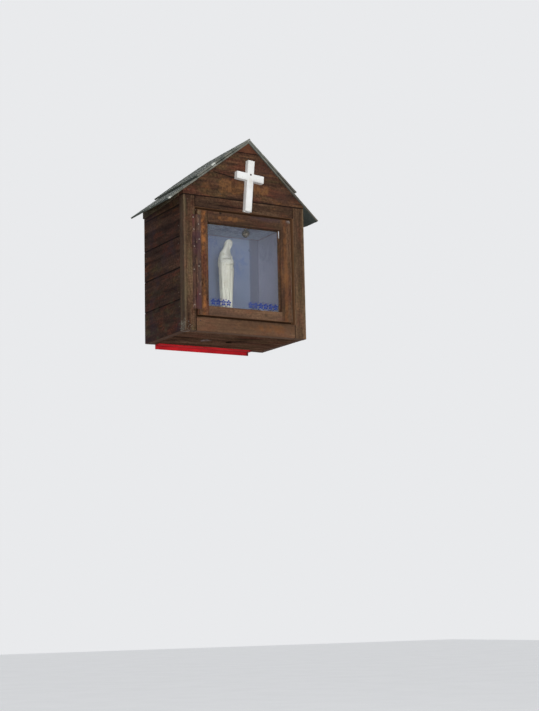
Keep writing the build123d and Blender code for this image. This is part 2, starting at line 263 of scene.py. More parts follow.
    def ground(self, scales, *stops, **kind):
        """The first coat: tones from dark to light, in clouds."""
        cloud = self.cloud(*scales, **kind)
        self.paint(self.stops(cloud, *stops))
        return cloud

    def patch(self, colour, across, up, strength, mottle=None, **kind):
        """Lays a colour on in an oval, broken up where mottle gives the seed for that."""
        place = self.spot(across, up, **kind)
        plain = mottle is None
        share = self.times(place, strength) if plain else self.mottled(place, strength, mottle)
        self.paint(colour, share)


ALONG = {"X": (1, 0, 0), "Y": (0, 1, 0), "Z": (0, 0, 1)}
SOOT = (38, 27, 22)
RED_STAIN = (98, 50, 38)
OLIVE_STAIN = (78, 66, 42)


def stained_wood(name, grain, tones, orange, wear, soot, seed, stacked=False, gloss=0.06):
    """Old brown stain over softwood: streaks, fibres, soot, and orange wood where it has worn.

    grain is the axis that the fibres follow. tones run from dark to light. Stacked boards each
    have a grain of their own.
    """
    finish = Finish(name, gloss=gloss)
    own = seed
    if stacked:
        course = finish.math("FLOOR", finish.math("DIVIDE", finish.axis("Z"), BOARD_HEIGHT))
        own = finish.math("MULTIPLY_ADD", course, 3.71, seed)

    def figure(along, across, detail, which=0, roughness=0.6):
        scales = [along if part else across for part in ALONG[grain]]
        turn = finish.math("ADD", own, which) if stacked else own + which
        return finish.cloud(*scales, detail=detail, roughness=roughness, seed=turn)

    streaks = figure(5, 80, 6)
    fibres = figure(24, 400, 5, roughness=0.7)
    finish.paint(finish.stops(streaks, *zip((0.34, 0.5, 0.66), tones)))
    finish.paint(RED_STAIN, finish.spread(figure(16, 40, 6, 50), 0.48, 0.66, 0, 0.5))
    finish.paint(OLIVE_STAIN, finish.spread(figure(14, 44, 6, 60), 0.5, 0.66, 0, 0.5))
    bare = finish.spread(
        figure(15, 40, 6, 20), 0.62 - 0.1 * wear, 0.72 - 0.08 * wear, 0, 0.3 + 0.5 * wear
    )
    finish.paint(orange, finish.times(bare, finish.spread(fibres, 0.38, 0.58, 0.2, 1)))
    finish.paint(SOOT, finish.spread(figure(14, 34, 7, 40), 0.5, 0.66, 0, soot))
    finish.paint(SOOT, finish.spread(fibres, 0.36, 0.56, 0.6, 0))
    grit = finish.cloud(240, 240, 240, detail=5, roughness=0.7, seed=seed)
    finish.paint(finish.spread(grit, 0.35, 0.65, 0.62, 1.38), 1, "MULTIPLY")

    knots = finish.put("ShaderNodeTexVoronoi", voronoi_dimensions="4D", feature="F1")
    scales = [5 if part else 12 for part in ALONG[grain]]
    finish.feed(knots.inputs["Vector"], finish.stretched(*scales))
    finish.feed(knots.inputs["W"], own)
    core = finish.spread(knots.outputs["Distance"], 0.04, 0.13, 0.85, 0)
    finish.paint((30, 20, 16), core)

    finish.roughness(finish.spread(fibres, 0.3, 0.7, 0.5, 0.78))
    finish.relief(fibres, 0.0008)
    finish.relief(streaks, 0.0014)
    finish.relief(core, 0.0008)
    return finish


JOINT = (22, 15, 12)
# Raw wood; on the faces in the gaps round the door it is also painted light that lifts their shade
RAW_WOOD_AND_GAP_LIGHT = (122, 88, 62)
DAMP_BROWN = (84, 60, 46)


def raw_edge_and_gap_light(finish, letter, place, tone=RAW_WOOD_AND_GAP_LIGHT):
    """A face at a place along an axis, in a plain tone: raw wood that the brush has missed, and
    round the door also painted light that lifts the shade in the gaps.
    """
    finish.paint(tone, finish.spread(finish.away(letter, place), 0.3, 0.6, 0.85, 0))


def seam(finish, height, reach=0.8):
    """The dark line where two boards meet."""
    finish.paint(JOINT, finish.times(finish.band("Z", height, reach, 0.6, 4), 0.85))


def end_seams(finish):
    """The dark lines where the sill and the lintel end against the posts."""
    across = finish.math("ABSOLUTE", finish.axis("X"))
    away = finish.math("ABSOLUTE", finish.less(across, OPENING_HALF))
    beside = finish.less(1, finish.within("Z", SILL_TOP, OPENING_HIGH, 1))
    finish.paint(JOINT, finish.times(finish.spread(away, 0.6, 1.6, 0.8, 0), beside))


def wall_stain(name, grain, seed):
    """The boards of the walls and the back, with a dark line where one meets the next."""
    finish = stained_wood(
        name, grain, ((37, 23, 20), (60, 42, 35), (84, 61, 49)), (108, 68, 42),
        wear=0.3, soot=0.6, seed=seed, stacked=True, gloss=0.02,
    )
    part = finish.math("FRACT", finish.math("DIVIDE", finish.axis("Z"), BOARD_HEIGHT))
    away = finish.math("ABSOLUTE", finish.less(part, 0.5))
    joint = finish.spread(away, 0.464, 0.49, 0, 0.85)
    finish.paint((18, 13, 12), finish.times(joint, finish.along("Z", 3, 6)))
    finish.tint((50, 40, 48), (14, 14, 14), 0.5, 0.66, 0.5, seed=6)
    moss = finish.spread(finish.cloud(36, 36, 60, detail=6, seed=4), 0.52, 0.66)
    finish.paint((70, 70, 54), finish.times(moss, finish.along("Z", 150, 0, 0.06, 0.5)))
    if grain == "Y":
        finish.patch(
            (118, 116, 106), (-188, 4), (8, 16), 0.7, 1, ragged=1.3, seed=2, plane="YZ"
        )
    raw_edge_and_gap_light(finish, "Z", 0, DAMP_BROWN)
    return finish


def underside_stain():
    """The floor board, seen from below: damp brown, with one dark knot and a pale patch."""
    finish = stained_wood(
        "underside stain", "X", ((66, 46, 36), (104, 75, 60), (130, 98, 78)), (118, 76, 46),
        wear=0.35, soot=0.7, seed=17, gloss=0,
    )
    finish.paint((24, 15, 10), finish.spot((11, 8), (-95, 12), seed=1, plane="XY"))
    finish.patch(
        (140, 128, 130), (-48, 13), (-92, 13), 0.75, 3, ragged=1.1, seed=2, plane="XY"
    )
    return finish


def frame_stain(name, grain, seed, wear=0.45):
    finish = stained_wood(
        name, grain, ((50, 36, 28), (88, 66, 50), (118, 92, 70)), (132, 88, 54),
        wear=wear, soot=0.6, seed=seed, gloss=0.03,
    )
    raw_edge_and_gap_light(finish, "Z", 0, DAMP_BROWN)
    return finish


def post_stain():
    """The posts: a little olive, with old web and dust low on the left one."""
    finish = frame_stain("post stain", "Z", 2.2)
    finish.tint((92, 84, 60), (40, 40, 14), 0.5, 0.66, 0.4, detail=5, seed=3)
    finish.paint((124, 110, 90), finish.times(finish.band("X", -147.6, 2, seed=1), 0.25))
    finish.paint((140, 122, 98), finish.mottled(finish.band("X", 148.6, 1.2, 0.8, 3), 0.7, 6))
    finish.paint((62, 48, 43), finish.times(finish.along("X", -149.5, -149.2, 1, 0), 0.5))
    finish.patch((124, 120, 108), (-150, 3), (6, 16), 0.7, 2, ragged=1.3, seed=5)
    finish.paint((118, 94, 72), finish.times(finish.along("X", 0, 1), 0.14))
    seam(finish, EAVE, 1.2)
    end_seams(finish)
    # Raw wood on the post's face in the door's gap, kept light as painted light against the shade
    # there
    raw_edge_and_gap_light(finish, "X", OPENING_HALF)
    return finish


def rail_stain():
    """The sill and the lintel: the sill lighter with a dark drip line, the lintel darker."""
    finish = frame_stain("rail stain", "X", 6.4, wear=0.6)
    finish.paint((50, 35, 29), finish.along("Z", 120, 240, 0, 0.4))
    finish.paint((116, 87, 66), finish.along("Z", 120, 60, 0, 0.4))
    finish.paint((24, 16, 12), finish.crack((-70, 279), (30, 277), seed=2))
    finish.patch((118, 76, 46), (60, 50), (16, 10), 0.6, 4, ragged=1.2, seed=6)
    drip = finish.times(finish.band("Z", SILL_TOP + 1, 4, 2, 7), 0.55)
    finish.paint(SOOT, finish.mottled(drip, 1, 9))
    seam(finish, EAVE, 1.2)
    end_seams(finish)
    # Raw wood on the lintel's underside over the door, kept light as painted light against the
    # shade in the gap
    raw_edge_and_gap_light(finish, "Z", OPENING_HIGH)
    return finish


def gable_stain():
    """The gable's wide boards: orange where the stain has gone, with one open crack."""
    finish = stained_wood(
        "gable stain", "X", ((42, 28, 22), (76, 52, 39), (104, 74, 52)), (126, 84, 50),
        wear=0.45, soot=0.6, seed=11.5,
    )
    for right, height, wide, tall, strength in (
        (-32, 324, 34, 20, 0.75), (42, 326, 26, 15, 0.85),
        (-92, 318, 16, 12, 0.5), (8, 416, 18, 10, 0.35),
    ):
        finish.patch(
            (122, 84, 52), (right, wide), (height, tall), strength, right,
            ragged=1.2, seed=right,
        )
    for right, height, wide, tall in ((50, 372, 30, 16), (96, 318, 34, 15)):
        finish.patch((60, 44, 38), (right, wide), (height, tall), 0.5, ragged=1, seed=height)
    finish.paint((98, 60, 44), finish.along("Z", GABLE_JOINT - 0.5, GABLE_JOINT + 0.5, 0, 0.55))
    seam(finish, GABLE_JOINT)
    seam(finish, EAVE, 1.5)
    split = finish.crack((-76, 353.5), (-22, 346.5), seed=1)
    finish.paint((22, 14, 10), split)
    finish.relief(finish.less(1, split), 0.0012)
    return finish


def door_stain(name, grain, seed):
    return stained_wood(
        name, grain, ((52, 35, 26), (88, 63, 47), (116, 86, 62)), (134, 88, 52),
        wear=0.6, soot=0.55, seed=seed,
    )


def stile_stain():
    """The door's stiles: worn orange down the middle, pale at the free edge and the corners."""
    finish = door_stain("door stile stain", "Z", 3)
    broken = finish.cloud(34, 34, 10, detail=5, seed=4)
    for middle, reach, strength in ((-101.5, 5, 1), (101, 4, 0.5)):
        gaps = finish.spread(broken, 0.38, 0.56, 0, 1)
        worn = finish.times(finish.band("X", middle, reach, 2.5, middle), gaps)
        finish.paint((146, 94, 54), finish.mottled(worn, strength, middle))
    finish.patch((140, 92, 52), (101, 8), (140, 34), 0.5, 8, ragged=1.2, seed=8)
    finish.paint((76, 58, 44), finish.along("X", 80, 84, 0, 0.25))
    free_edge = finish.band("X", DOOR_RIGHT - 0.2, 0.9, 0.8, 6)
    finish.paint((132, 118, 100), finish.times(free_edge, finish.spread(broken, 0.42, 0.5)))
    for right, height, tone in ((-110, 260, (120, 108, 84)), (111, 261, (132, 128, 124))):
        finish.patch(tone, (right, 5.5), (height, 4.5), 0.8, right, ragged=1.3, seed=right)
    # Raw wood on the door's free edge and bottom, kept light as painted light against the shade in
    # the gaps
    raw_edge_and_gap_light(finish, "X", DOOR_RIGHT)
    raw_edge_and_gap_light(finish, "Z", DOOR_LOW)
    return finish


def door_rail_stain():
    """The door's rails: the top one darker towards the right, the bottom one with a knot."""
    finish = door_stain("door rail stain", "X", 9)
    finish.paint((54, 39, 32), finish.along("Z", 120, 220, 0, 0.35))
    finish.patch((60, 50, 56), (60, 46), (262, 7), 0.5, seed=3)
    finish.patch((126, 84, 50), (-40, 40), (252, 6), 0.7, 5, ragged=1.2, seed=5)
    finish.paint((26, 18, 14), finish.spot((-60.5, 3.4), (262.5, 2.6), 0.4, 1))
    finish.patch((58, 45, 28), (48, 5), (45.5, 4), 0.9, ragged=0.5, seed=2)
    finish.paint((122, 98, 82), finish.along("Z", 70, 60, 0, 0.22))
    # Raw wood on the door's bottom edge, kept light as painted light against the shade in the gap
    raw_edge_and_gap_light(finish, "Z", DOOR_LOW)
    return finish


def batten_grey():
    """Unstained strips under the eaves, weathered olive grey."""
    return stained_wood(
        "batten grey", "Y", ((42, 35, 27), (70, 60, 46), (96, 86, 68)), (86, 78, 54),
        wear=0.4, soot=0.6, seed=21,
    )


# Darker blue for the painted reflection of the tree's twigs in the glass
TWIG_REFLECTION_BLUE = (64, 82, 128)


def lining_paint(name, tones, clouds, grey_shade_from=400):
    """Pale grey-blue paint, laid on unevenly.

    Each cloud of darker blue, a painted reflection of the tree's twigs in the glass, has a plane,
    its place in that, a strength and a tone.
    The last argument is where along X the paint turns greyer and darker, a painted shade like that
    of the side walls.
    """
    finish = Finish(name, 0.75, 0.1)
    finish.ground((14, 14, 14), *zip((0.3, 0.55, 0.75), tones), detail=5, seed=0.4)
    # Painted shade: greyer and darker from this place along X, like the side walls
    finish.paint((75, 76, 92), finish.along("X", grey_shade_from - 2, grey_shade_from + 2, 0, 0.9))
    # Painted light: lighter towards the left of the niche, lifting the shade there
    finish.paint((140, 141, 156), finish.along("X", -60, -110, 0, 0.5))
    fine = finish.spread(finish.cloud(95, 95, 70, detail=6, roughness=0.7, seed=3), 0.44, 0.58)
    # Painted reflection: darker blue clouds where twigs are mirrored in the glass
    for plane, across, up, strength, tone in clouds:
        place = finish.spot(across, up, ragged=1.3, seed=up[0], plane=plane)
        finish.paint(tone, finish.times(place, finish.times(fine, strength)))
    finish.paint((84, 62, 72), finish.times(finish.band("Z", CEILING - 1, 1.4, 0.5, 2), 0.6))
    raw_edge_and_gap_light(finish, "Y", CEILING_NEAR)
    finish.relief(finish.cloud(40, 40, 500, detail=4, seed=2), 0.0003)
    return finish


def back_paint():
    tones = ((91, 99, 122), (101, 109, 131), (111, 119, 140))
    return lining_paint("back lining paint", tones, (
        ("XZ", (84, 30), (208, 44), 0.55, TWIG_REFLECTION_BLUE),
        ("XZ", (10, 40), (236, 34), 0.5, TWIG_REFLECTION_BLUE),
    ), grey_shade_from=109)


def side_lit_paint():
    # Painted light and shade: the back's paint in greyer and lighter tones of its own, set for how
    # light falls on the side walls
    tones = ((111, 111, 130), (120, 120, 140), (128, 127, 147))
    return lining_paint("side lining lit paint", tones, (
        # painted reflection of twigs in the glass
        ("YZ", (-50, 60), (222, 40), 0.5, (70, 80, 104)),
    ))


def ceiling_lit_paint():
    # Painted light: the back's paint in much lighter tones, so that the ceiling's underside, which
    # takes little light, looks as light as the back
    tones = ((172, 194, 224), (184, 206, 234), (194, 214, 240))
    return lining_paint("ceiling lit paint", tones, (
        # painted reflection of twigs in the glass
        ("XY", (40, 60), (-80, 40), 0.6, TWIG_REFLECTION_BLUE),
    ))


def sheet_grey():
    """Thin grey roof sheet: weathered, mossy, with a lighter broken front edge."""
    finish = Finish("roof sheet", 0.85)
    finish.ground(
        (16, 16, 16), (0.32, (60, 66, 62)), (0.5, (80, 85, 80)), (0.7, (104, 108, 102)),
        detail=6, seed=1.1,
    )
    grit = finish.cloud(600, 600, 600, detail=3, seed=3.1)
    finish.paint((40, 43, 41), finish.spread(grit, 0.35, 0.7, 0.22, 0))
    moss = finish.cloud(38, 38, 38, detail=7, roughness=0.62, seed=7)
    finish.paint((62, 66, 44), finish.spread(moss, 0.53, 0.63, 0, 0.75))
    edge = finish.along("Y", SHEET_NEAR + 0.3, SHEET_NEAR + 1, 1, 0)
    worn = finish.spread(finish.cloud(60, 60, 60, detail=5, seed=2), 0.36, 0.6, 0.25, 0.95)
    finish.paint((118, 117, 108), finish.times(edge, worn))
    finish.paint((76, 64, 54), finish.times(edge, finish.along("X", 60, 110, 0, 0.6)))
    finish.tint((136, 140, 132), (95, 95, 95), 0.68, 0.74, 0.6, detail=3, seed=9)
    for right, height in ((-187, 280), (-78, 371)):
        chip = finish.spot((right, 8), (height, 6), ragged=1.5, seed=height)
        finish.paint((196, 198, 190), finish.times(chip, finish.along("Y", -190, -196)))
    finish.relief(grit, 0.0004)
    finish.relief(moss, 0.0012)
    return finish


def red_ledge_paint():
    """Red paint on steel, chipped to rust along its edges, dark at the right end."""
    finish = Finish("red ledge paint", 0.55, 0.12)
    finish.ground((22, 40, 40), (0.34, (150, 18, 28)), (0.66, (200, 34, 40)), seed=2)
    chipped = finish.tint(
        (74, 44, 34), (90, 180, 180), 0.66, 0.69, detail=5, roughness=0.6, seed=4
    )
    finish.paint((60, 14, 12), finish.along("X", 103, 107, 0, 0.85))
    finish.roughness(finish.spread(chipped, 0, 1, 0.55, 0.85))
    finish.relief(finish.less(1, chipped), 0.0003)
    return finish


def white_cross_paint():
    """Thick white paint over wood, with brush marks and a little dirt."""
    finish = Finish("white cross paint", 0.5, 0.4)
    finish.ground(
        (50, 50, 50), (0.3, (212, 211, 208)), (0.5, (226, 226, 222)), (0.7, (234, 234, 232)),
        seed=2.7,
    )
    finish.tint((132, 120, 106), (330, 330, 240), 0.70, 0.74, 0.6, detail=2, seed=5)
    finish.patch((198, 190, 176), (8, 4.5), (341, 12), 0.35, ragged=1.1, seed=4)
    finish.relief(finish.cloud(420, 420, 60, detail=3, seed=1), 0.0003)
    return finish


def statue_glaze():
    """Matt cream casting; the veil and the cape are greyer, with olive-grey clouds on the cape and
    veil below the face: dust and painted shade.
    """
    finish = Finish("statue glaze", 0.55, 0.3)
    finish.ground(
        (45, 45, 30), (0.3, (160, 154, 141)), (0.55, (172, 166, 155)), (0.8, (182, 177, 166)),
        seed=0.9,
    )
    finish.paint((152, 150, 145), finish.along("Z", 168, 178, 0, 0.6))
    # Dust and painted shade: olive-grey clouds on the cape and veil, above the robe and below the
    # face
    dust = finish.spread(finish.cloud(220, 220, 150, detail=5, seed=3.3), 0.52, 0.68, 0, 0.6)
    cape, face = finish.along("Z", 168, 188, 0.35, 0.8), finish.along("Z", 196, 204, 1, 0.12)
    finish.paint((100, 100, 78), finish.times(dust, finish.times(cape, face)))
    finish.relief(finish.cloud(600, 600, 600, detail=2, seed=6), 0.00012)
    return finish


def window_glass():
    """Clear glass that lets the lamps' light straight through, so that the niche is lit."""
    finish = Finish("window glass", 0.02, 0.5)
    finish.surface.inputs["Transmission Weight"].default_value = 1
    finish.surface.inputs["IOR"].default_value = 1.45
    finish.surface.inputs["Base Color"].default_value = (0.93, 0.96, 0.96, 1)
    clear = finish.put("ShaderNodeBsdfTransparent")
    clear.inputs["Color"].default_value = (0.93, 0.95, 0.95, 1)
    mix = finish.put("ShaderNodeMixShader")
    shadow = finish.put("ShaderNodeLightPath").outputs["Is Shadow Ray"]
    for number, socket in enumerate((shadow, finish.surface.outputs[0], clear.outputs[0])):
        finish.feed(mix.inputs[number], socket)
    finish.feed(finish.tree.nodes["Material Output"].inputs["Surface"], mix.outputs[0])
    return finish


def hinge_brown():
    """Brown stain run over the hinge's steel, red where it shows, dusty on the door's leaf."""
    finish = Finish("hinge brown", 0.6, 0.15)
    wide = finish.ground(
        (90, 90, 22), (0.32, (46, 32, 27)), (0.5, (76, 52, 42)), (0.7, (98, 70, 56)),
        detail=6, seed=1.5,
    )
    finish.tint((84, 36, 36), (60, 60, 14), 0.46, 0.58, 0.6, detail=5, seed=5)
    finish.paint((78, 63, 57), finish.times(finish.along("X", -118.5, -116.5), 0.5))
    finish.tint((66, 40, 48), (34, 34, 20), 0.52, 0.62, 0.6, detail=5, seed=12)
    finish.tint((36, 27, 25), (110, 110, 60), 0.5, 0.64, 0.75, detail=6, roughness=0.7, seed=3)
    finish.tint((132, 104, 84), (220, 220, 80), 0.56, 0.66, 0.6, detail=5, seed=8)
    finish.relief(wide, 0.0003)
    return finish


def bare_metal(name, tone):
    finish = Finish(name, 0.5, 0.5)
    finish.surface.inputs["Metallic"].default_value = 0.7
    finish.paint(tone)
    finish.tint((96, 60, 40), (500, 500, 500), 0.45, 0.65, 0.7, detail=3, seed=2)
    return finish


def knob_varnish():
    finish = Finish("knob varnish", 0.16, 0.6)
    finish.surface.inputs["Coat Weight"].default_value = 0.6
    finish.surface.inputs["Coat Roughness"].default_value = 0.08
    finish.ground((60, 60, 320), (0.3, (42, 34, 26)), (0.7, (78, 64, 48)), seed=2)
    return finish


def ornament_blue():
    finish = Finish("ornament blue", 0.5, 0.4)
    finish.ground((200, 200, 200), (0.3, (18, 36, 104)), (0.7, (36, 62, 138)), detail=3, seed=3)
    return finish


def pale_crust(name, dark, light):
    finish = Finish(name, 0.8, 0.3)
    finish.ground((300, 300, 300), (0.3, dark), (0.7, light))
    return finish


FINISHES = {
    "wall": wall_stain("wall stain", "Y", 1.3),
    "back": wall_stain("back stain", "X", 8.1),
    "underside": underside_stain(),
    "post": post_stain(),
    "rail": rail_stain(),
    "gable": gable_stain(),
    "stile": stile_stain(),
    "door rail": door_rail_stain(),
    "bead": door_stain("glazing bead stain", "Z", 12),
    "batten": batten_grey(),
    "back lining": back_paint(),
    "side lining": side_lit_paint(),
    "ceiling": ceiling_lit_paint(),
    "sheet": sheet_grey(),
    "ledge": red_ledge_paint(),
    "cross": white_cross_paint(),
    "statue": statue_glaze(),
    "glass": window_glass(),
    "hinge": hinge_brown(),
    "screw": bare_metal("screw steel", (138, 128, 116)),
    "nail": bare_metal("nail iron", (64, 54, 48)),
    "clout": bare_metal("clout zinc", (150, 152, 150)),
    "knob": knob_varnish(),
    "blue": ornament_blue(),
    "web": pale_crust("web grey", (112, 108, 98), (164, 160, 150)),
    # White for the painted highlight on the pane's edge
    "putty": pale_crust("putty highlight white", (196, 200, 204), (232, 236, 240)),
}

# the finish of each CAD node that shows, by the start of its name or the whole of it
for start, finish in {
    "left_wall_board_": "wall", "right_wall_board_": "wall", "back_board_": "back",
    "floor_board": "underside", "left_post": "post", "right_post": "post",
    "sill_rail": "rail", "lintel": "rail", "gable_board_": "gable",
    "door_left_stile": "stile", "door_right_stile": "stile",
    "door_top_rail": "door rail", "door_bottom_rail": "door rail", "glazing_bead_": "bead",
    "back_lining": "back lining", "left_lining": "side lining", "right_lining": "side lining",
    "ceiling_board": "ceiling", "support_ledge": "ledge", "cross": "cross",
    "glass_pane": "glass", "hinge_leaf_": "hinge", "hinge_pin": "screw",
}.items():
    for name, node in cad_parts.items():
        if name.startswith(start):
            node.data.materials.clear()
            node.data.materials.append(FINISHES[finish].material)


# ---- new pieces


def seat(name, form, finish, body, smooth=True, replaces=()):
    """Makes a finished form, drawn in millimetres, into a piece that rides on its body."""
    bmesh.ops.recalc_face_normals(form, faces=form.faces)
    to_metres = Matrix.Scale(0.001, 4) @ Matrix.Translation((0, 0, -UNDERSIDE))
    bmesh.ops.transform(form, matrix=to_metres, verts=form.verts)
    mesh = bpy.data.meshes.new(name)
    form.to_mesh(mesh)
    form.free()
    for face in mesh.polygons:
        face.use_smooth = smooth
    mesh.materials.append(FINISHES[finish].material)
    piece = bpy.data.objects.new(name, mesh)
    bpy.context.scene.collection.objects.link(piece)
    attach(piece, body)
    if replaces:
        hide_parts(*replaces)
    return piece


def facing(direction):
    """The turn that takes +Z to a direction."""
    return Vector(direction).to_track_quat("Z", "Y").to_matrix().to_4x4()


def jitter(amount):
    return chance.uniform(-amount, amount)


def moved(x, y, z):
    return Matrix.Translation((x, y, z))


def sized(x, y, z):
    return Matrix.Diagonal((x, y, z, 1))


def add(form, create, shape, **sizes):
    """Adds one of bmesh's plain forms, put in shape and in its place by a matrix."""
    made = create(form, **sizes)["verts"]
    bmesh.ops.transform(form, matrix=shape, verts=made)
    return made


def nail_head(form, spot, direction, radius, rise):
    """A round head with a softened rim, a little proud of the board."""
    tilt = Matrix.Rotation(radians(jitter(4)), 4, "X")
    place = Matrix.Translation(spot) @ facing(direction) @ tilt
    bmesh.ops.create_cone(
        form, cap_ends=True, segments=10, radius1=radius, radius2=radius * 0.72,
        depth=rise, matrix=place @ moved(0, 0, rise / 2 - 0.1),
    )


def drive(name, spots, finish="nail", radius=1.8, rise=0.5):
    """A set of nails; each spot is a place and the direction that it faces."""
    form = bmesh.new()
    for spot, direction in spots:
        nail_head(form, spot, direction, radius, rise)
    seat(name, form, finish, "case")


def wall_nails():
    spots = []
    for side, top in HEEL.items():
        for course in range(4):
            low = course * BOARD_HEIGHT
            high = top if course == 3 else low + BOARD_HEIGHT
            for deep in (-170, -8):
                for share in (0.26, 0.76):
                    height = low + (high - low) * share + jitter(3)
                    spots.append(((side * HALF_WIDTH, deep + jitter(2), height), (side, 0, 0)))
    drive("wall_nails", spots)


def back_nails():
    spots = []
    for course in range(6):
        low = course * BOARD_HEIGHT
        for side in (-1, 1):
            for share in (0.28, 0.74):
                height = low + BOARD_HEIGHT * share + jitter(3)
                reach = 128
                if height > EAVE:
                    reach = min(reach, (APEX_HEIGHT - height) / GABLE_RAKE - NAIL_INSET)
                if reach > NAIL_INSET:
                    spots.append(((side * reach + jitter(2), 0, height), (0, 1, 0)))
    drive("back_nails", spots)


def front_nails():
    spots = []
    for right in (-141, 142):
        for height in (22, 120, 205, 284):
            spots.append(((right + jitter(1.5), FRONT, height + jitter(4)), (0, -1, 0)))
    for right, height in ((-134, 307), (-60, 305), (70, 303), (128, 304), (-40, 372), (52, 376),
                          (4, 414), (21, 416), (-112, 22), (110, 9), (-30, 12), (60, 20)):
        spots.append(((right, FRONT, height), (0, -1, 0)))
    drive("front_nails", spots, radius=1.5)


def cross_nail():
    drive("cross_nail", [((10, FRONT - 13, 353.9), (0, -1, 0))], radius=2.3, rise=0.7)


def hinge_screws():
    """Small countersunk heads with a slot, where the hinge still shows them."""
    heads = {
        "case": ((-127.3, 246.2), (-125.6, 220), (-124.8, 182.8), (-126, 132), (-126, 55.3)),
        "door": ((-114.6, 232), (-113.2, 199), (-114.6, 140), (-113.4, 79)),
    }
    for body, places in heads.items():
        form = bmesh.new()
        for right, height in places:
            place = moved(right, FRONT - 1, height) @ facing((0, -1, 0))
            bmesh.ops.create_cone(
                form, cap_ends=True, segments=14, radius1=1.7, radius2=1.4, depth=0.36,
                matrix=place @ moved(0, 0, 0.12),
            )
            turn = Matrix.Rotation(chance.uniform(0, pi), 4, "Z")
            for side in (-1, 1):
                shape = place @ turn @ moved(0, side * 0.7, 0.33) @ sized(2.4, 0.9, 0.14)
                add(form, bmesh.ops.create_cube, shape, size=1)
        seat("hinge_screws_" + body, form, "screw", body, smooth=False)


def slope(side):
    """The steepness of a roof slope, and its length for one step across."""
    fall = (APEX_HEIGHT - HEEL[side]) / (HALF_WIDTH - side * APEX_RIGHT)
    return fall, (1 + fall * fall) ** 0.5


def on_roof(side, reach, deep, above):
    """A point by its reach down the slope from the apex, and its height above the boards."""
    fall, stretch = slope(side)
    right = APEX_RIGHT + side * (reach + above * fall) / stretch
    return Vector((right, deep, APEX_HEIGHT + (above - reach * fall) / stretch))


def curl(side, down):
    """How far an upper sheet stands off from the lower one, by its share of the way down."""
    bow, tip = (1.3, 0.5) if side < 0 else (1.4, 3)
    return bow * sin(pi * down) + tip * max(0, (down - 0.35) / 0.65) ** 2


def roof_sheet(node, side, layer, stops, lap):
    """One sheet with wavering edges; stops are its lower end in front and at the back.

    lap is how far it runs past the apex.
    """
    form = bmesh.new()
    bmesh.ops.create_cube(form, size=1)
    for axis, cuts in enumerate(SHEET_CUTS):
        edges = [
            edge for edge in form.edges
            if abs(edge.verts[0].co[axis] - edge.verts[1].co[axis]) > 0.9
        ]
        bmesh.ops.subdivide_edges(form, edges=edges, cuts=cuts, use_grid_fill=True)
    stretch = slope(side)[1]
    for vert in form.verts:
        down, back, up = vert.co + Vector((0.5, 0.5, 0.5))
        stop = stops[0] + (stops[1] - stops[0]) * back
        length = abs(side * stop - APEX_RIGHT) * stretch
        reach = -lap + (length + lap) * down
        deep = SHEET_NEAR + (SHEET_FAR - SHEET_NEAR) * back
        rough = noise.noise(Vector((reach * 0.09, deep * 0.09, layer * 9 + side)))
        if down > 0.99:
            reach += rough * 1.6
        if back < 0.01:
            deep += abs(rough) * 1.2
        if back > 0.99:
            deep += rough * 1.6
        swell = 0.5 * (noise.noise(Vector((reach * 0.02, deep * 0.02, 3))) + 0.5)
        bend = layer * (curl(side, down) + swell)
        above = layer * SHEET + bend + up * SHEET
        vert.co = on_roof(side, reach, deep, above)
    seat(node + "_worn", form, "sheet", "case", smooth=False, replaces=[node])


def roof():
    """Four thin sheets; the upper ones have curled away from the lower ones."""
    eave = (EAVE_STOP, EAVE_STOP)
    roof_sheet("roof_left_lower_sheet", -1, 0, eave, 2)
    roof_sheet("roof_right_lower_sheet", 1, 0, eave, 2)
    roof_sheet("roof_left_upper_sheet", -1, 1, (114, 123), 8)
    roof_sheet("roof_right_upper_sheet", 1, 1, (125, 122), 2)


def roof_nails():
    """Clout nails in rows on the upper sheets."""
    spots = []
    for side in (-1, 1):
        fall = slope(side)[0]
        normal = Vector((side * fall, 0, 1)).normalized()
        for reach in (30, 100):
            for number in range(5):
                deep = -186 + number * 42 + jitter(4)
                above = 2 * SHEET + curl(side, reach / 160) + 0.3
                spot = on_roof(side, reach + jitter(2), deep, above)
                spots.append((tuple(spot), tuple(normal)))
    drive("roof_nails", spots, "clout", radius=3, rise=0.7)


def slat(name, low, high, finish, warp=None):
    """A plain strip between two corners; warp moves its corners before it is seated."""
    form = bmesh.new()
    size = [b - a for a, b in zip(low, high)]
    middle = [(a + b) / 2 for a, b in zip(low, high)]
    add(form, bmesh.ops.create_cube, moved(*middle) @ sized(*size), size=1)
    if warp:
        for vert in form.verts:
            warp(vert)
    bmesh.ops.bevel(
        form, geom=form.edges[:], offset=0.5, segments=1, affect="EDGES", profile=0.5, material=-1,
    )
    seat(name, form, finish, "case", smooth=False)


def eave_battens():
    """Weathered strips on the walls' tops under the overhang, cut a little out of level."""
    for side, word in ((-1, "left"), (1, "right")):
        fall = slope(side)[0]

        def follow(vert, side=side, fall=fall):
            back = (vert.co.y - FRONT) / -FRONT
            if vert.co.z < HEEL[side] - 5:
                vert.co.z = EAVE + 0.5 - 12 * back
            else:
                vert.co.z = HEEL[side] - (abs(vert.co.x) - HALF_WIDTH) * fall - 0.3

        edges = sorted((side * HALF_WIDTH, side * (HALF_WIDTH + 4)))
        slat(
            "eave_batten_" + word, (edges[0], -176.5, 285), (edges[1], -1, HEEL[side]),
            "batten", follow,
        )


